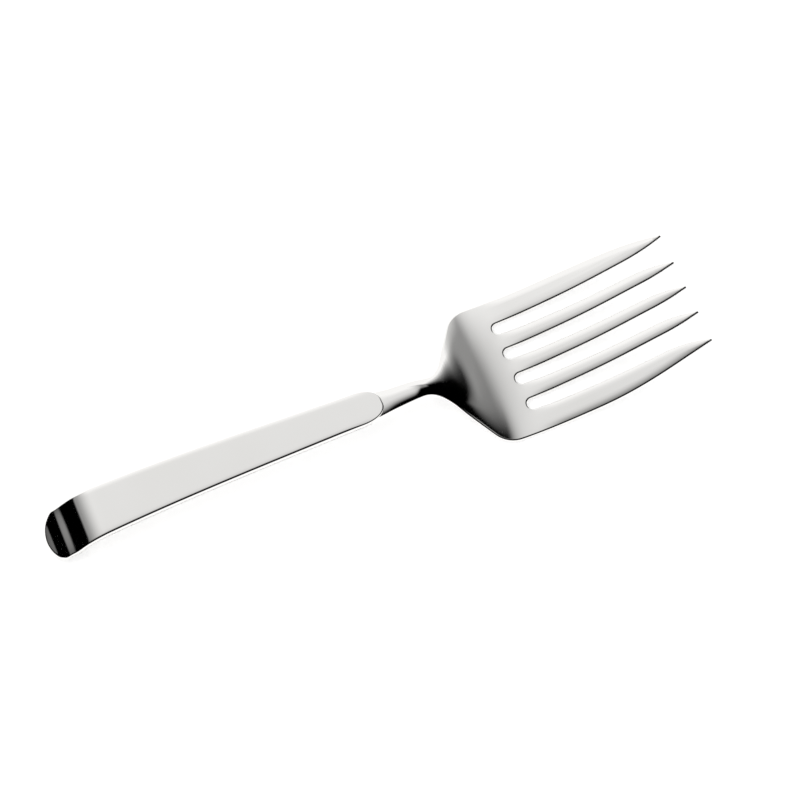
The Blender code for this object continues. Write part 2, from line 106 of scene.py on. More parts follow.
# Head, seen from above
BOLSTER_WIDTH = 0.0111
BOLSTER_LENGTH = 0.0095       # joint with the handle to the start of the neck
NECK_WIDTH = 0.0066
NECK_TAPER = 0.0022           # how much wider the neck is where it leaves the bolster
NECK_LENGTH = 0.0180          # to the corner where the back edges set off
HEEL_LENGTH = 0.0150          # from that corner to the shoulder corners
PALM_LENGTH = 0.0123          # shoulder corners to the slot ends
HEEL_FILLET = 0.0120
SHOULDER_RADIUS = 0.0100
TINE_COUNT = 5
TINE_PITCH = 0.0104
TINE_WIDTH = 0.0064           # inner tines at the slot ends
TINE_END_WIDTH = 0.0046       # inner tines where the points begin
OUTER_TINE_WIDTH = 0.0092
OUTER_TINE_END_WIDTH = 0.0066
INNER_TAPER = 0.45            # part of the outer tines' taper that is on their inner side
POINT_LENGTH = 0.0090
POINT_RADIUS = 0.0550
TIP_WIDTH = 0.0008
TIP_ROUND = 0.45              # corners of the tips, and
SLOT_ROUND = 0.4975           # ends of the slots: radius as a share of the width, short of a half
SIDE_RADIUS = 0.2050          # long curve of the outer tines' outer edges
SIDE_STRAIGHT = 0.0009        # how much room that curve keeps before the tips
TIP_SHIFT = 0.0001            # outer tips lie this far outside their pitch line

# Head, seen from the side and cut across
PLATE_EDGE = 0.0007           # rounding of the head's edges, seen from above
NECK_THICKNESS = 0.0044
PALM_THICKNESS = 0.0020
TIP_THICKNESS = 0.0011
BOLSTER_SQUARE = 0.4          # the bolster's top is this much less round under the tongue than the neck
HEEL_FALL = 0.0010            # the plate falls off this much from its middle to its sides, in the heel,
PALM_FALL = 0.0005            # and in the palm and the tines
FALL_POWER = 2.5
RIDGE = 0.0006                # the neck's ridge runs out into the heel, this high over its edges
RIDGE_END = 0.0160            # from the heel's corner to where it has run out
CROWN_TINE = 0.00040          # the polished tines are a little crowned: how far their edges fall off,
CROWN_REACH = 0.0030          # and from how far in,
CROWN_LEAD = 0.0040           # starting this far before the slots,
CROWN_GROWTH = 0.0160         # and full grown after this length

# Stations worked out from the sizes
BOLSTER_BACK = JOINT + 2 * SEAM
NECK_START = BOLSTER_BACK + BOLSTER_LENGTH
HEEL_CORNER = NECK_START + NECK_LENGTH
SHOULDER_CORNER = HEEL_CORNER + HEEL_LENGTH
SLOT_END = SHOULDER_CORNER + PALM_LENGTH
TINE_LENGTH = LENGTH - SLOT_END
CREST = HANDLE_LENGTH - CREST_TO_TIP
TONGUE_START = HANDLE_LENGTH - TONGUE_LENGTH

# How finely the surfaces are built
ARC_SAG = 0.000004            # how far a chord may stand off its arc
GRID = 0.0010                 # between the cuts of the head, and between stations on the handle's arch
ROLL_STEP = 0.0003            # between stations on the handle's rolls
BUTT_ARC = radians(54), 24    # the stations round the butt: how far round its arc, and how many
TONGUE_ARC = radians(4), 32   # where the stations in the tongue's arc begin, and how many
MARK_ROOM = 0.0001            # no station lies closer to the seam's end and the joint
WELD = 0.0000005              # points closer than this are one point
NECK_STEP = 0.0015            # between the points that smooth the neck's outline
STEP = 0.00002                # for slopes worked out by differences,
SHARE_STEP = 0.01             # and for those through the thickness
ROUND_LIMIT = 0.999           # how far out the round of the neck is followed, as a share of its half width
BATCH = 2000                  # points that are measured against the outline at a time
FACE_WEIGHT = 80              # how much more a large face counts in the shells' normals than a small one
EDGE_HOLD = 0.0002            # flat strip of the facet beside its rounded edge
FACET_SHARES = (0.0, 0.25, 0.5, 0.7, 0.84, 0.90, 0.95, 1.0)
EDGE_STEPS = 12               # points round the facet's edge,
BELLY_STEPS = 14              # and round the belly
TONGUE_ROW = len(FACET_SHARES) + EDGE_STEPS     # row of the side profile at the tongue's lower edge,
SEAM_ROW = TONGUE_ROW + 2                       # and at the seam

# Textures
POLISH_LINES = (35.0, 2400.0, 2400.0)           # the last polishing ran along the fork: marks per metre
LINE_DEPTH = 0.0000006
SMUDGES = 45.0                # smudges and grains per metre
GRAINS = 900.0
GRAIN_DEPTH = 0.00015

# Camera
CAMERA_TARGET = Vector((0.01287, 0.00389, 0.0))
CAMERA_DISTANCE = 1.1
CAMERA_AZIMUTH = radians(-22.32)
CAMERA_ELEVATION = radians(66.19)
CAMERA_LENS = 141.1           # in millimetres, as the sensor
SENSOR = 36.0

# Studio
FLOOR_SIZE = 12.0
FLOOR_DROP = 0.0001           # the table lies this far under the fork
FLOOR_GREY = 0.85
FLOOR_GLOW = 0.40             # lifts the table to white where it is seen
AMBIENT = 0.75                # the room as a light, where 1 is how it is seen
LAMP_SIZE = (1.2, 0.9)
LAMP_PLACE = Vector((-0.15, 0.25, 1.6))
LAMP_POWER = 4.0
DOME_RADIUS = 3.0
# The white sweep fades into black cloth. Each fade has steps: how much of it, where it starts and ends.
# All places are shares of the height, as a direction's x / z, -x / z and y / z.
TIP_FADE = ((0.72, 0.22, 0.72), (0.28, 0.95, 1.32))
BUTT_FADE = ((0.68, 0.42, 1.02), (0.32, 1.05, 1.50))
FRONT_RISE = ((0.78, 0.00, 1.00), (0.22, 0.95, 1.65))
# The near edge of the sweep slants: it starts further back toward the tips, and is sharper there.
FRONT_START = ((0.65, 0.28, 0.57), (0.13, 0.66, 1.10))
FRONT_NEAR = -0.45
FRONT_END = 0.35
FRONT_SLANT = 0.12            # how much of that shift its far side takes part in
BACK_RISE = (0.42, 1.00)      # the white wall behind begins here, as a share y / x,
BUTT_SIDE = -1.7              # and this many times further round on the butt's side
WALL_FOOT = (0.50, 1.05)      # it shows only lower down than this, as a share y / z
LOW_FRONT = (3.0, 6.0)        # and the white table in front, as a share -y / z


def ease(t):
    """Step from 0 to 1 that starts and ends flat and without curvature."""
    t = np.clip(t, 0.0, 1.0)
    return t * t * t * (10 - 15 * t + 6 * t * t)


def mix(a, b, t):
    return a + (b - a) * t


def spline(stations):
    """Smooth curve through the stations (position, value), with no curvature at its two ends."""
    x, y = (np.array(column) for column in zip(*stations))
    step = np.diff(x)
    slope = np.diff(y) / step
    matrix = np.eye(len(x))
    right = np.zeros(len(x))
    for i in range(1, len(x) - 1):
        matrix[i, i - 1:i + 2] = step[i - 1], 2 * (step[i - 1] + step[i]), step[i]
        right[i] = 6 * (slope[i] - slope[i - 1])
    bend = np.linalg.solve(matrix, right)

    def value(at):
        at = np.clip(at, x[0], x[-1])
        i = np.clip(np.searchsorted(x, at) - 1, 0, len(step) - 1)
        a = x[i + 1] - at
        b = at - x[i]
        cubic = (bend[i] * a ** 3 + bend[i + 1] * b ** 3) / (6 * step[i])
        start = (y[i] / step[i] - bend[i] * step[i] / 6) * a
        end = (y[i + 1] / step[i] - bend[i + 1] * step[i] / 6) * b
        return cubic + start + end

    return value


# Handle shape

def facet_height(s):
    """Middle of the handle's top facet: an arch, then the curl with two soft rolls down to the butt."""
    ahead = np.maximum(s - CREST, 0.0) / CREST_TO_TIP
    behind = np.maximum(CREST - s, 0.0) / CREST
    in_curl = np.maximum(CURL_START - s, 0.0)
    soft = np.minimum(in_curl, CURL_BLEND)
    curl = CURL_SLOPE * (soft * soft / (2 * CURL_BLEND) + in_curl - soft)
    shoulder = SHOULDER_DROP * ease((SHOULDER_START + SHOULDER_ROLL - s) / SHOULDER_ROLL)
    ledge = LEDGE_DROP * ease((LEDGE_START + LEDGE_ROLL - s) / LEDGE_ROLL)
    arch = CREST_HEIGHT - TONGUE_FALL * ahead ** 2 - ARCH_DROP * behind ** ARCH_POWER
    return arch - curl - shoulder - ledge


def crown_drop(s, y):
    """How far the facet lies below its middle at this offset."""
    return CROWN * ease((CROWN_START - s) / CROWN_LENGTH) * (2 * y / BUTT_WIDTH) ** 2


def edge_roll(s, inside):
    """How far polishing has rolled the facet off at station s, this far inside the handle's outline."""
    rolled = FACET_ROLL * float(ease((s - SHOULDER_START) / SHOULDER_ROLL))
    rolled *= float(ease((HANDLE_LENGTH - s) / TONGUE_LENGTH))
    return rolled * max(1 - inside / ROLL_REACH, 0.0) ** 2


def belly_height(s):
    """Underside of the handle: parallel to the facet, then flat on the table toward the butt."""
    free = facet_height(s) - HANDLE_THICKNESS
    soft = np.maximum(free + FOOT_BLEND, 0.0) ** 2 / (4 * FOOT_BLEND)
    return np.where(free >= FOOT_BLEND, free, soft)


def handle_half_width(s, least=NOSE_WIDTH / 2):
    if s > TONGUE_START:
        reach = min((s - TONGUE_START) / TONGUE_LENGTH, 1.0)
        narrowing = (1 - reach ** TONGUE_FULLNESS) ** (1 / TONGUE_FULLNESS)
        return max(FRONT_WIDTH / 2 * narrowing, least)
    side = mix(BUTT_WIDTH, FRONT_WIDTH, s / TONGUE_START) / 2
    side -= PINCH * np.exp(-((s - LEDGE_START - LEDGE_ROLL) / (LEDGE_ROLL / 2)) ** 2)
    if s >= BUTT_RADIUS:
        return side
    arc = max((s * (2 * BUTT_RADIUS - s)) ** 0.5, least)
    return (arc ** -BUTT_CORNER + side ** -BUTT_CORNER) ** (-1 / BUTT_CORNER)


def outline_normal(s, half):
    """Which way the handle's outline faces at station s, seen from above."""
    before, after = max(s - STEP, 0.0), min(s + STEP, HANDLE_LENGTH)
    widths = [handle_half_width(at, STEP / 100) for at in (before, after)]
    return Vector((-(widths[1] ** 2 - widths[0] ** 2) / (2 * (after - before)), half)).normalized()


def handle_stations():
    """Stations along the handle, closest together round the butt, on the rolls and in the tongue."""
    nose = BUTT_RADIUS - (BUTT_RADIUS ** 2 - (NOSE_WIDTH / 2) ** 2) ** 0.5
    first = acos(1 - nose / BUTT_RADIUS)
    butt = [BUTT_RADIUS * (1 - cos(a)) for a in np.linspace(first, *BUTT_ARC)[1:]]
    rolls = np.arange(butt[-1] + ROLL_STEP, SHOULDER_START + 2 * SHOULDER_ROLL, ROLL_STEP)
    arch = np.arange(rolls[-1] + GRID, TONGUE_START, GRID)
    start, count = TONGUE_ARC
    last = acos(NOSE_WIDTH / FRONT_WIDTH)
    tongue = [TONGUE_START + TONGUE_LENGTH * sin(a) for a in np.linspace(start, last, count)]
    marks = [SEAM_END, JOINT]
    free = [s for s in (*butt, *rolls, *arch, *tongue) if min(abs(s - m) for m in marks) > MARK_ROOM]
    return sorted([0.0] + free + marks)


def side_profile(s):
    """Points of one side of the handle at station s, from the facet down to the middle of the belly."""
    half = handle_half_width(s)
    normal = outline_normal(s, half)
    top, bottom = float(facet_height(s)), float(belly_height(s))
    seam = mix(top, bottom, SIDE_SHARE)
    edge = mix(FACET_EDGE, TONGUE_EDGE, float(ease((s - JOINT) / EDGE_FADE + 1)))
    edge = min(edge, 0.9 * (top - seam))
    foot = 1 - float(ease((s - LEDGE_START) / (2 * SHOULDER_ROLL)))
    turn = mix(BELLY_SHARE * half, BELLY_TURN, foot)

    def inward(distance):
        distance = min(distance, half / normal.y) if normal.y > 0.01 else distance
        return s - normal.x * distance, max(half - normal.y * distance, 0.0)

    def on_facet(x, y):
        return float(facet_height(x)) - float(crown_drop(x, y)) - edge_roll(s, half - y)

    brink_x, brink_y = inward(edge + EDGE_HOLD)
    points = [(brink_x, share * brink_y, on_facet(brink_x, share * brink_y)) for share in FACET_SHARES]
    for a in np.linspace(pi / 2, 0, EDGE_STEPS):
        x, y = inward(edge * (1 - cos(a)))
        points.append((x, y, mix(top, on_facet(x, y), sin(a)) - edge * (1 - sin(a))))
    low = top - max(edge, min(TONGUE_THICKNESS, 0.95 * (top - seam)))
    points += [(*inward(0.0), low), (*inward(0.0), mix(low, seam, 0.5))]
    for a in np.linspace(0, pi / 2, BELLY_STEPS):
        points.append((*inward(turn * (1 - cos(a))), seam - (seam - bottom) * sin(a)))
    x, _, z = points[-1]
    return points + [(x, 0.0, z)]


# Head shape

def head_top():
    """Height of the middle of the head's top along the head."""
    neck = float(facet_height(HANDLE_LENGTH)) - TONGUE_THICKNESS - SEAM
    palm = PALM_THICKNESS
    return spline([
        (BOLSTER_BACK, float(facet_height(BOLSTER_BACK)) - TONGUE_THICKNESS - SEAM),
        (HANDLE_LENGTH, neck),
        (NECK_START + 0.20 * NECK_LENGTH, neck + 0.00045),
        (NECK_START + 0.54 * NECK_LENGTH, neck + 0.00035),
        (NECK_START + 0.79 * NECK_LENGTH, neck - 0.00075),
        (HEEL_CORNER + 0.03 * HEEL_LENGTH, neck - 0.00325),
        (HEEL_CORNER + 0.35 * HEEL_LENGTH, mix(palm, neck, 0.435)),
        (HEEL_CORNER + 0.63 * HEEL_LENGTH, mix(palm, neck, 0.268)),
        (SHOULDER_CORNER + 0.08 * PALM_LENGTH, mix(palm, neck, 0.105)),
        (SHOULDER_CORNER + 0.70 * PALM_LENGTH, palm + 0.00025),
        (SLOT_END + 0.04 * TINE_LENGTH, palm),
        (SLOT_END + 0.25 * TINE_LENGTH, palm + 0.0014),
        (SLOT_END + 0.47 * TINE_LENGTH, palm + 0.0042),
        (SLOT_END + 0.69 * TINE_LENGTH, palm + 0.0085),
        (SLOT_END + 0.87 * TINE_LENGTH, palm + 0.0119),
        (LENGTH, palm + 0.0131),
    ])


def head_thickness():
    bolster = HANDLE_THICKNESS - TONGUE_THICKNESS - SEAM
    return spline([
        (BOLSTER_BACK, bolster),
        (HANDLE_LENGTH, mix(NECK_THICKNESS, bolster, 0.5)),
        (NECK_START + 0.10 * NECK_LENGTH, NECK_THICKNESS),
        (NECK_START + 0.60 * NECK_LENGTH, NECK_THICKNESS),
        (HEEL_CORNER + 0.20 * HEEL_LENGTH, mix(PALM_THICKNESS, NECK_THICKNESS, 0.35)),
        (HEEL_CORNER + 0.80 * HEEL_LENGTH, mix(PALM_THICKNESS, NECK_THICKNESS, 0.05)),
        (SLOT_END, PALM_THICKNESS),
        (SLOT_END + 0.5 * TINE_LENGTH, mix(PALM_THICKNESS, TIP_THICKNESS, 0.35)),
        (LENGTH, TIP_THICKNESS),
    ])


def side_fall():
    """How far the plate has fallen off at its outer edge, along the head."""
    return spline([
        (BOLSTER_BACK, 0.0),
        (NECK_START + 0.80 * NECK_LENGTH, 0.0),
        (HEEL_CORNER + 0.50 * HEEL_LENGTH, 0.8 * HEEL_FALL),
        (SHOULDER_CORNER, HEEL_FALL),
        (SLOT_END, PALM_FALL),
        (SLOT_END + 0.25 * TINE_LENGTH, PALM_FALL),
        (LENGTH, PALM_FALL),
    ])


def rounded(corners):
    """Points along a path of corners (x, y, radius), each corner replaced by an arc of its radius."""
    points = []
    for i, (x, y, radius) in enumerate(corners):
        here = Vector((x, y))
        if radius == 0 or i in (0, len(corners) - 1):
            points.append(here)
            continue
        back = (Vector(corners[i - 1][:2]) - here).normalized()
        ahead = (Vector(corners[i + 1][:2]) - here).normalized()
        turn = pi - back.angle(ahead)
        centre = here + (back + ahead).normalized() * radius / cos(turn / 2)
        start = here + back * radius * tan(turn / 2) - centre
        steps = max(2, ceil(turn / (2 * acos(1 - min(ARC_SAG / radius, 1.0)))))
        side = 1 if back.cross(ahead) < 0 else -1
        for step in range(steps + 1):
            a = side * turn * step / steps
            turned = (start.x * cos(a) - start.y * sin(a), start.x * sin(a) + start.y * cos(a))
            points.append(centre + Vector(turned))
    return points


def outer_edge_corners():
    """Corners of one outer edge, from the middle of the bolster's back to the outer tine's tip."""
    tip = (TINE_COUNT - 1) / 2 * TINE_PITCH + TIP_SHIFT
    tip += (OUTER_TINE_WIDTH - TINE_WIDTH) / 3
    narrowing = HALF_WIDTH - tip - TIP_WIDTH / 2
    side_corner = LENGTH - (SIDE_RADIUS * narrowing / 2) ** 0.5 - SIDE_STRAIGHT
    return [
        (BOLSTER_BACK, 0, 0),
        (BOLSTER_BACK, BOLSTER_WIDTH / 2, PLATE_EDGE),
        (NECK_START, (NECK_WIDTH + NECK_TAPER) / 2, POINT_RADIUS),
        (HEEL_CORNER, NECK_WIDTH / 2, HEEL_FILLET),
        (SHOULDER_CORNER, HALF_WIDTH, SHOULDER_RADIUS),
        (side_corner, HALF_WIDTH, SIDE_RADIUS),
        (LENGTH, tip + TIP_WIDTH / 2, TIP_WIDTH * TIP_ROUND),
        (LENGTH, tip - TIP_WIDTH / 2, TIP_WIDTH * TIP_ROUND),
    ]


def slot_corners(tine):
    """Corners round the slot on the inner side of this tine, from its point to the next tine's tip.

    Tines are counted from the middle one, which is 0.
    """
    end = (TINE_COUNT - 1) // 2
    middle, below = tine * TINE_PITCH, (tine - 1) * TINE_PITCH
    slot_radius = (TINE_PITCH - TINE_WIDTH) * SLOT_ROUND
    point = LENGTH - POINT_LENGTH
    point_inner = middle - TINE_END_WIDTH / 2
    if tine == end:
        taper = OUTER_TINE_WIDTH - OUTER_TINE_END_WIDTH
        point_inner = HALF_WIDTH - OUTER_TINE_WIDTH + taper * INNER_TAPER
    corners = [
        (point, point_inner, POINT_RADIUS),
        (SLOT_END, middle - TINE_WIDTH / 2, slot_radius),
        (SLOT_END, below + TINE_WIDTH / 2, slot_radius),
        (point, below + TINE_END_WIDTH / 2, POINT_RADIUS),
        (LENGTH, below + TIP_WIDTH / 2, TIP_WIDTH * TIP_ROUND),
    ]
    if tine > 1:
        corners.append((LENGTH, below - TIP_WIDTH / 2, TIP_WIDTH * TIP_ROUND))
    return corners


def head_outline():
    """Closed outline of the whole head: the outer edge, then tine by tine in to the middle, mirrored."""
    corners = outer_edge_corners()
    for tine in range((TINE_COUNT - 1) // 2, 0, -1):
        corners += slot_corners(tine)
    corners.append((LENGTH, 0, 0))
    upper = rounded(corners)
    lower = [Vector((p.x, -p.y)) for p in upper]
    return lower + upper[-2:0:-1]


def head_half_width():
    """Smooth half width of the neck and heel, for the round of their section."""
    edge = rounded(outer_edge_corners())[1:]
    s = [p.x for p in edge]
    y = [p.y for p in edge]
    return spline([(at, float(np.interp(at, s, y))) for at in np.arange(BOLSTER_BACK, SLOT_END, NECK_STEP)])


def press_of():
    """The forged shape, as a function: how high a point of the flat blank comes to lie.

    The point is given by its station s, its offset y and its place k in the thickness, from -1 to 1.
    """
    top_of, thickness_of, fall_of, half_of = head_top(), head_thickness(), side_fall(), head_half_width()

    def height(s, y, k):
        thick = thickness_of(s)
        across = np.minimum(np.abs(y) / (half_of(s) + PLATE_EDGE / 2), ROUND_LIMIT)
        drop = thick / 2 * (1 - np.sqrt(1 - across ** 2))
        flat = ease((s - HEEL_CORNER) / (HEEL_LENGTH + PALM_LENGTH / 2))
        under_tongue = 1 - ease((s - HANDLE_LENGTH + BOLSTER_LENGTH / 4) / BOLSTER_LENGTH)
        ridge = ease((s - NECK_START - NECK_LENGTH / 2) / (NECK_LENGTH / 2))
        ridge = RIDGE * ridge * (1 - ease((s - HEEL_CORNER) / RIDGE_END))
        fall = fall_of(s) * (np.abs(y) / HALF_WIDTH) ** FALL_POWER + ridge * across ** 2
        top = top_of(s) - fall - drop * (1 - flat) * (1 - BOLSTER_SQUARE * under_tongue)
        bottom = np.maximum(top_of(s) - thick - fall, 0.0) + drop * (1 - flat)
        return mix(bottom, top, (k + 1) / 2)

    return height


# Making the pieces

def new_object(name, data):
    made = bpy.data.objects.new(name, data)
    bpy.context.scene.collection.objects.link(made)
    return made


def new_piece(name, mesh, node, look):
    """A steel piece that stands for this CAD node."""
    piece = new_object(name, mesh)
    piece.location.x = BUTT_X
    mesh.materials.append(look)
    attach(piece, "root")
    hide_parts(node)
    return piece


def mesh_from(name, shape):
    """The mesh of this bmesh, which is freed."""
    mesh = bpy.data.meshes.new(name)
    shape.to_mesh(mesh)
    shape.free()
    return mesh


def slab_mesh(outline, half_thickness):
    """A flat slab of this outline with rounded edges."""
    curve = bpy.data.curves.new("blank", "CURVE")
    curve.dimensions = "2D"
    curve.fill_mode = "BOTH"
    curve.extrude = half_thickness - PLATE_EDGE
    curve.bevel_depth = PLATE_EDGE
    curve.bevel_resolution = 4
    curve.offset = -PLATE_EDGE
    path = curve.splines.new("POLY")
    path.points.add(len(outline) - 1)
    for point, (x, y) in zip(path.points, outline):
        point.co = (x, y, 0, 1)
    path.use_cyclic_u = True
    holder = new_object("blank", curve)
    mesh = bpy.data.meshes.new_from_object(holder.evaluated_get(bpy.context.evaluated_depsgraph_get()))
    bpy.data.objects.remove(holder)
    bpy.data.curves.remove(curve)
    return mesh


def slice_all(shape, at, normal):
    """Cut every face along the plane that lies at this distance along the normal."""
    geom = shape.verts[:] + shape.edges[:] + shape.faces[:]
    bmesh.ops.bisect_plane(shape, geom=geom, plane_co=normal * float(at), plane_no=normal, dist=WELD)


def blank_mesh(outline, half_thickness):
    """The flat blank of the head with rounded edges, cut into a fine grid."""
    mesh = slab_mesh(outline, half_thickness)
    shape = bmesh.new()
    shape.from_mesh(mesh)
    bmesh.ops.remove_doubles(shape, verts=shape.verts, dist=WELD)
    for facing in (1, -1):
        cap = [f for f in shape.faces if f.normal.z * facing > 0.999]
        bmesh.ops.dissolve_faces(shape, faces=cap)
    bmesh.ops.recalc_face_normals(shape, faces=shape.faces)
    for s in np.arange(BOLSTER_BACK + GRID, LENGTH, GRID):
        slice_all(shape, s, Vector((1, 0, 0)))
    for y in np.arange(-HALF_WIDTH + GRID / 2, HALF_WIDTH, GRID):
        slice_all(shape, y, Vector((0, 1, 0)))
    bmesh.ops.triangulate(shape, faces=[f for f in shape.faces if len(f.verts) > 4])
    shape.to_mesh(mesh)
    shape.free()
    return mesh


def depth_inside(outline, s, y):
    """How far points lie inside the outline, and which way that grows."""
    path = np.array([p[:] for p in outline])
    ahead = np.roll(path, -1, axis=0) - path
    length = np.maximum((ahead ** 2).sum(axis=1), WELD ** 2)
    distance = np.empty(len(s))
    away = np.empty((len(s), 2))
    for first in range(0, len(s), BATCH):
        some = slice(first, first + BATCH)
        at = np.column_stack((s[some], y[some]))[:, None]
        share = np.clip(((at - path) * ahead).sum(axis=2) / length, 0.0, 1.0)
        offset = at - path - share[..., None] * ahead
        reach = (offset ** 2).sum(axis=2)
        nearest = reach.argmin(axis=1)
        rows = np.arange(len(nearest))
        distance[some] = np.sqrt(reach[rows, nearest])
        away[some] = offset[rows, nearest] / np.maximum(distance[some], WELD)[:, None]
    return distance, away


def blank_normals(mesh, z, half):
    """Exact normals of the blank, whose edges are arcs of the radius PLATE_EDGE."""
    facing = np.array([v.normal for v in mesh.vertices])
    sine = np.sign(z) * np.clip((np.abs(z) - half + PLATE_EDGE) / PLATE_EDGE, 0.0, 1.0)
    plan = facing[:, :2] / np.maximum(np.linalg.norm(facing[:, :2], axis=1), 1e-9)[:, None]
    return np.column_stack((plan * np.sqrt(1 - sine ** 2)[:, None], sine))


def pressed_normals(normal, height, s, y, k, half):
    """The blank's normals after pressing, from the slopes of the pressed shape and not yet of length 1."""
    along = (height(s + STEP, y, k) - height(s - STEP, y, k)) / (2 * STEP)
    across = (height(s, y + STEP, k) - height(s, y - STEP, k)) / (2 * STEP)
    through = height(s, y, k + SHARE_STEP) - height(s, y, k - SHARE_STEP)
    through /= 2 * SHARE_STEP * half
    return np.column_stack((
        normal[:, 0] - normal[:, 2] * along / through,
        normal[:, 1] - normal[:, 2] * across / through,
        normal[:, 2] / through,
    ))


def make_head(look):
    """The head: its flat blank, pressed to the forged shape and crowned along the tines."""
    half = PALM_THICKNESS / 2
    outline = head_outline()
    mesh = blank_mesh(outline, half)
    flat = np.zeros(len(mesh.vertices) * 3)
    mesh.vertices.foreach_get("co", flat)
    s, y, z = flat.reshape(-1, 3).T
    k = z / half
    height = press_of()
    normal = pressed_normals(blank_normals(mesh, z, half), height, s, y, k, half)
    distance, away = depth_inside(outline, s, y)
    share = np.clip(1 - distance / CROWN_REACH, 0.0, 1.0)
    share = share * ease((s - SLOT_END + CROWN_LEAD) / CROWN_GROWTH) * (k > 0)
    normal[:, :2] -= away * (normal[:, 2] * 2 * CROWN_TINE / CROWN_REACH * share)[:, None]
    normal /= np.linalg.norm(normal, axis=1)[:, None]
    crowned = np.maximum(height(s, y, k) - CROWN_TINE * share ** 2, 0.0)
    mesh.vertices.foreach_set("co", np.column_stack((s, y, crowned)).ravel())
    mesh.update()
    mesh.shade_smooth()
    mesh.normals_split_custom_set_from_vertices([tuple(n) for n in normal])
    new_piece("head", mesh, "fork_head", look)


def end_bands(rows):
    """Rows between which each face closes an end of the handle.

    The level rows of the facet and of the belly belong to the face next to them.
    """
    facet = len(FACET_SHARES)
    between = [range(row, row + 2) for row in range(facet, rows - 2)]
    return [range(facet + 1)] + between + [range(rows - 2, rows + 1)]


def shell_mesh(name, keep):
    """Skin of the handle where keep(middle station, row) holds, as quads between the side profiles."""
    stations = handle_stations()
    profiles = [side_profile(s) for s in stations]
    rows = len(profiles[0]) - 1
    shape = bmesh.new()
    verts = {}

    def vert(i, row, side):
        x, y, z = profiles[i][row]
        key = (i, row, side if y > 0 else 0)
        if key not in verts:
            verts[key] = shape.verts.new((x, side * y, z))
        return verts[key]

    def add_face(places, turn):
        corners = list(dict.fromkeys(vert(*place) for place in places))
        if len(corners) > 2:
            shape.faces.new(corners[::turn])

    for i, (back, ahead) in enumerate(zip(stations, stations[1:])):
        for row in range(rows):
            if keep((back + ahead) / 2, row):
                for side in (1, -1):
                    corners = ((i, row), (i + 1, row), (i + 1, row + 1), (i, row + 1))
                    add_face([(*corner, side) for corner in corners], side)
    for i, turn in ((0, 1), (len(stations) - 1, -1)):
        for band in end_bands(rows):
            if all(keep(stations[i], row) for row in band[:-1]):
                add_face([(i, row, 1) for row in band] + [(i, row, -1) for row in reversed(band)], turn)
    bmesh.ops.remove_doubles(shape, verts=shape.verts, dist=WELD)
    bmesh.ops.recalc_face_normals(shape, faces=shape.faces)
    return mesh_from(name, shape)


def make_shell(name, node, keep, look):
    """A shell: its outer skin, thickened inward, with the normals of its large faces."""
    mesh = shell_mesh(name, keep)
    mesh.shade_smooth()
    piece = new_piece(name, mesh, node, look)
    wall = piece.modifiers.new("wall", "SOLIDIFY")
    wall.thickness = SHELL_WALL
    wall.offset = -1
    weighted = piece.modifiers.new("weighted", "WEIGHTED_NORMAL")
    weighted.weight = FACE_WEIGHT


def in_top_shell(s, row):
    if s < SEAM_END:
        return True
    return row < (SEAM_ROW if s < JOINT else TONGUE_ROW)


def in_bottom_shell(s, row):
    return SEAM_END < s < JOINT and row >= SEAM_ROW


def inner_section(s):
    """One side of the room inside the shells at station s, from the top down to the middle of the belly."""
    y, z = np.array(side_profile(s))[:, 1:].T
    inset = SHELL_WALL + SEAM
    across, down = np.gradient(y), np.gradient(z)
    length = np.maximum(np.hypot(across, down), WELD)
    inner_y = np.clip(y + inset * down / length, 0.0, y.max() - inset)
    inner_z = np.clip(z - inset * across / length, z.min() + inset, z.max() - inset)
    inner_y[[0, -1]] = 0.0
    return inner_y, inner_z


def tang_ring(s, share):
    """Points round the tang, which fills this share of the room inside the shells at station s."""
    y, z = inner_section(s)
    z = mix((z[0] + z[-1]) / 2, z, share)
    side = [(s, across, up) for across, up in zip(y * share, z)]
    return side + [(s, -across, up) for _, across, up in side[-2:0:-1]]


def make_tang(look):
    """Front of the tang: it closes the mouth of the shells and runs on, narrower, into the bolster."""
    rings = [tang_ring(s, 1.0) for s in (JOINT - MOUTH_DEPTH, JOINT)]
    rings += [tang_ring(s, TANG_SHARE) for s in (JOINT, BOLSTER_BACK + PLATE_EDGE)]
    shape = bmesh.new()
    loops = [[shape.verts.new(point) for point in ring] for ring in rings]
    for back, ahead in zip(loops, loops[1:]):
        for i in range(len(back)):
            shape.faces.new((back[i - 1], back[i], ahead[i], ahead[i - 1]))
    for end in (loops[0], loops[-1]):
        shape.faces.new(end)
    bmesh.ops.remove_doubles(shape, verts=shape.verts, dist=WELD)
    bmesh.ops.recalc_face_normals(shape, faces=shape.faces)
    new_piece("tang", mesh_from("tang", shape), "fork_head", look)


# Materials

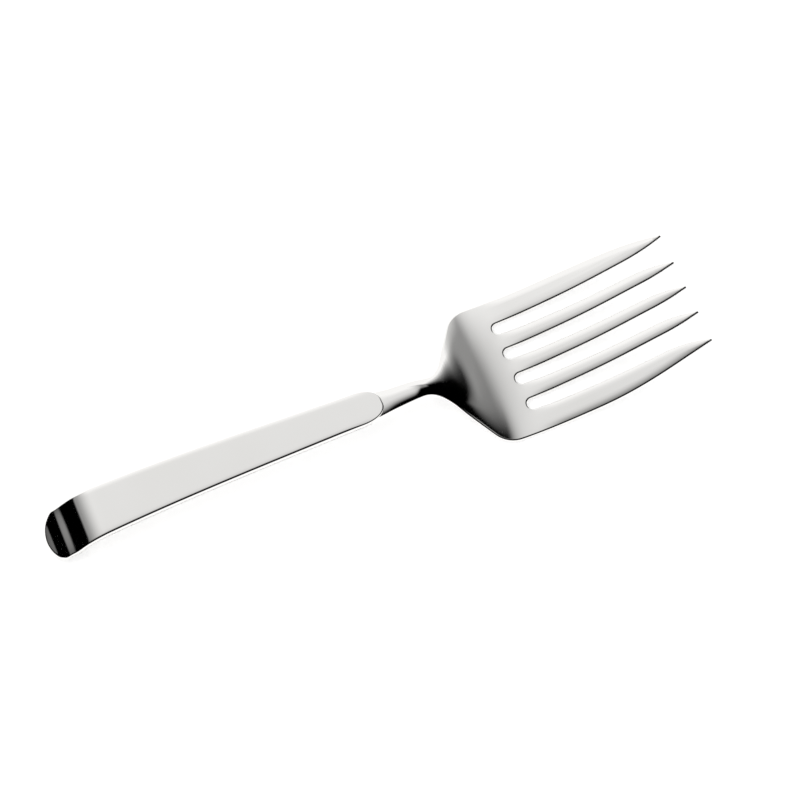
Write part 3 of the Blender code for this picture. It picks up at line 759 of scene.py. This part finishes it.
class Tree:
    """The node tree of a material or world, with helpers that add nodes to it."""

    def __init__(self, owner):
        owner.use_nodes = True
        self.nodes = owner.node_tree.nodes
        self.links = owner.node_tree.links

    def math(self, operation, *values):
        """The result of this operation on numbers and on outputs of other nodes."""
        node = self.nodes.new("ShaderNodeMath")
        node.operation = operation
        for socket, value in zip(node.inputs, values):
            if isinstance(value, float):
                socket.default_value = value
            else:
                self.links.new(value, socket)
        return node.outputs[0]

    def spread(self, value, low, high, start=0.35, end=0.65, kind="LINEAR"):
        """The value between start and end, carried to between low and high."""
        node = self.nodes.new("ShaderNodeMapRange")
        node.interpolation_type = kind
        for name, number in (("From Min", start), ("From Max", end), ("To Min", low), ("To Max", high)):
            node.inputs[name].default_value = number
        self.links.new(value, node.inputs["Value"])
        return node.outputs["Result"]

    def fade(self, value, start, end):
        """A soft step from 0 at start to 1 at end."""
        return self.spread(value, 0.0, 1.0, start, end, "SMOOTHSTEP")

    def fades(self, value, parts, total=0.0):
        """The total, plus each part's share faded in between its start and its end."""
        for share, start, end in parts:
            total = self.math("MULTIPLY_ADD", self.fade(value, start, end), share, total)
        return total

    def ray_share(self):
        """1 for camera, glossy and transmission rays, which see the studio itself, 0 for the others."""
        path = self.nodes.new("ShaderNodeLightPath")
        seen = self.math("MAXIMUM", path.outputs["Is Camera Ray"], path.outputs["Is Glossy Ray"])
        return self.math("MAXIMUM", seen, path.outputs["Is Transmission Ray"])


class Look(Tree):
    """A new material with helpers for its texture."""

    def __init__(self, name):
        self.material = bpy.data.materials.new(name)
        super().__init__(self.material)
        self.shader = self.nodes["Principled BSDF"]
        self.place = self.nodes.new("ShaderNodeTexCoord").outputs["Object"]

    def noise(self, scale, detail, stretch=None):
        node = self.nodes.new("ShaderNodeTexNoise")
        node.inputs["Scale"].default_value = scale
        node.inputs["Detail"].default_value = detail
        place = self.place
        if stretch:
            mapping = self.nodes.new("ShaderNodeMapping")
            mapping.inputs["Scale"].default_value = stretch
            self.links.new(place, mapping.inputs["Vector"])
            place = mapping.outputs["Vector"]
        self.links.new(place, node.inputs["Vector"])
        return node.outputs["Fac"]

    def colour(self, value, *stops):
        """Base colour that goes from stop to stop (value, colour)."""
        ramp = self.nodes.new("ShaderNodeValToRGB")
        for element, (position, shade) in zip(ramp.color_ramp.elements, stops):
            element.position = position
            element.color = (*shade, 1)
        self.links.new(value, ramp.inputs["Fac"])
        self.links.new(ramp.outputs["Color"], self.shader.inputs["Base Color"])

    def bump(self, value, depth):
        node = self.nodes.new("ShaderNodeBump")
        node.inputs["Strength"].default_value = 1.0
        node.inputs["Distance"].default_value = depth
        self.links.new(value, node.inputs["Height"])
        self.links.new(node.outputs["Normal"], self.shader.inputs["Normal"])


def polished_steel():
    """Mirror polish with faint lines along the fork, duller on its edges and where it was wiped."""
    look = Look("polished_steel")
    look.shader.inputs["Metallic"].default_value = 1.0
    smudges = look.noise(SMUDGES, 3.0)
    lines = look.noise(1.0, 2.0, POLISH_LINES)
    edges = look.nodes.new("ShaderNodeNewGeometry").outputs["Pointiness"]
    film = look.spread(smudges, 0.0, 0.035, 0.45, 0.75)
    marks = look.spread(lines, 0.060, 0.085)
    worn = look.spread(edges, 0.0, 0.05, 0.52, 0.62)
    rough = look.math("ADD", look.math("ADD", film, marks), worn)
    look.links.new(rough, look.shader.inputs["Roughness"])
    look.colour(smudges, (0.40, (0.945, 0.937, 0.920)), (0.75, (0.930, 0.921, 0.900)))
    look.bump(lines, LINE_DEPTH)
    return look.material


def handle_cement():
    """Rough grey cement with darker grains and small pores."""
    look = Look("handle_cement")
    grains = look.noise(GRAINS, 6.0)
    look.colour(grains, (0.35, (0.33, 0.315, 0.29)), (0.65, (0.47, 0.45, 0.42)))
    look.links.new(look.spread(grains, 0.95, 0.78), look.shader.inputs["Roughness"])
    look.bump(grains, GRAIN_DEPTH)
    return look.material


def white_table():
    look = Look("white_table")
    look.shader.inputs["Base Color"].default_value = (FLOOR_GREY, FLOOR_GREY, FLOOR_GREY, 1)
    look.shader.inputs["Roughness"].default_value = 0.9
    look.shader.inputs["Specular IOR Level"].default_value = 0.0
    look.shader.inputs["Emission Color"].default_value = (1, 1, 1, 1)
    glow = look.math("MULTIPLY", look.ray_share(), FLOOR_GLOW)
    look.links.new(glow, look.shader.inputs["Emission Strength"])
    return look.material


def opening(look):
    """How open the cloth is in each direction: the sweep, the wall behind and the table in front."""
    split = look.nodes.new("ShaderNodeSeparateXYZ")
    look.links.new(look.place, split.inputs[0])
    x, y, z = (split.outputs[axis] for axis in "XYZ")
    math, fade, fades = look.math, look.fade, look.fades
    along, across = math("DIVIDE", x, z), math("DIVIDE", y, z)
    to_tips = math("SUBTRACT", 1.0, fades(along, TIP_FADE))
    to_butt = math("SUBTRACT", 1.0, fades(math("MULTIPLY", along, -1.0), BUTT_FADE))
    near = fades(along, FRONT_START, FRONT_NEAR)
    far = math("MULTIPLY_ADD", math("SUBTRACT", near, FRONT_NEAR), FRONT_SLANT, FRONT_END)
    depth = math("DIVIDE", math("SUBTRACT", across, near), math("SUBTRACT", far, near))
    sweep = math("MULTIPLY", math("MULTIPLY", to_tips, to_butt), fades(depth, FRONT_RISE))
    side = math("MAXIMUM", math("MAXIMUM", x, math("MULTIPLY", x, BUTT_SIDE)), 0.001)
    wall = math("MULTIPLY", fade(math("DIVIDE", y, side), *BACK_RISE), fade(across, *WALL_FOOT))
    front = fade(math("MULTIPLY", across, -1.0), *LOW_FRONT)
    return math("MAXIMUM", math("MAXIMUM", sweep, wall), front)


def black_cloth():
    """Black where the studio is closed, and clear where it is open."""
    look = Look("black_cloth")
    look.nodes.remove(look.shader)
    black = look.nodes.new("ShaderNodeEmission")
    black.inputs["Color"].default_value = (0, 0, 0, 1)
    clear = look.nodes.new("ShaderNodeBsdfTransparent")
    blend = look.nodes.new("ShaderNodeMixShader")
    look.links.new(opening(look), blend.inputs["Fac"])
    look.links.new(black.outputs[0], blend.inputs[1])
    look.links.new(clear.outputs[0], blend.inputs[2])
    look.links.new(blend.outputs[0], look.nodes["Material Output"].inputs["Surface"])
    return look.material


# Studio

def make_world():
    """White all round, dimmer as a light than as it is seen."""
    world = bpy.data.worlds.new("studio")
    bpy.context.scene.world = world
    tree = Tree(world)
    background = tree.nodes["Background"]
    background.inputs["Color"].default_value = (1, 1, 1, 1)
    strength = tree.spread(tree.ray_share(), AMBIENT, 1.0, 0.0, 1.0)
    tree.links.new(strength, background.inputs["Strength"])


def make_floor():
    mesh = bpy.data.meshes.new("floor")
    h = FLOOR_SIZE / 2
    mesh.from_pydata([(-h, -h, 0), (h, -h, 0), (h, h, 0), (-h, h, 0)], [], [(0, 1, 2, 3)])
    mesh.materials.append(white_table())
    floor = new_object("floor", mesh)
    floor.location.z = -FLOOR_DROP


def make_flags():
    """Black cloth all round, open overhead, that a polished surface shows as dark reflections."""
    shape = bmesh.new()
    bmesh.ops.create_uvsphere(shape, u_segments=64, v_segments=32, radius=DOME_RADIUS)
    low = [v for v in shape.verts if v.co.z < -0.01]
    bmesh.ops.delete(shape, geom=low, context="VERTS")
    mesh = mesh_from("flags", shape)
    mesh.shade_smooth()
    mesh.materials.append(black_cloth())
    flags = new_object("flags", mesh)
    flags.visible_camera = False
    flags.visible_diffuse = False
    flags.visible_shadow = False


def make_lamp():
    lamp = bpy.data.lights.new("softbox", "AREA")
    lamp.shape = "RECTANGLE"
    lamp.size, lamp.size_y = LAMP_SIZE
    lamp.energy = LAMP_POWER
    holder = new_object("softbox", lamp)
    holder.location = LAMP_PLACE
    holder.rotation_euler = (-LAMP_PLACE).to_track_quat("-Z", "Y").to_euler()
    holder.visible_glossy = False


def make_camera():
    camera = bpy.data.cameras.new("camera")
    camera.lens = CAMERA_LENS
    camera.sensor_width = SENSOR
    camera.clip_start = 0.05
    holder = new_object("camera", camera)
    back = Vector((
        sin(CAMERA_AZIMUTH) * cos(CAMERA_ELEVATION),
        -cos(CAMERA_AZIMUTH) * cos(CAMERA_ELEVATION),
        sin(CAMERA_ELEVATION),
    ))
    holder.location = CAMERA_TARGET + back * CAMERA_DISTANCE
    holder.rotation_euler = (-back).to_track_quat("-Z", "Y").to_euler()
    bpy.context.scene.camera = holder


steel = polished_steel()
make_head(steel)
make_tang(steel)
make_shell("top_shell", "handle_top_shell", in_top_shell, steel)
make_shell("bottom_shell", "handle_bottom_shell", in_bottom_shell, steel)
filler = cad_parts["handle_filler"]
filler.data.materials.clear()
filler.data.materials.append(handle_cement())

make_world()
make_floor()
make_flags()
make_lamp()
make_camera()
bpy.context.scene.view_settings.view_transform = "Standard"
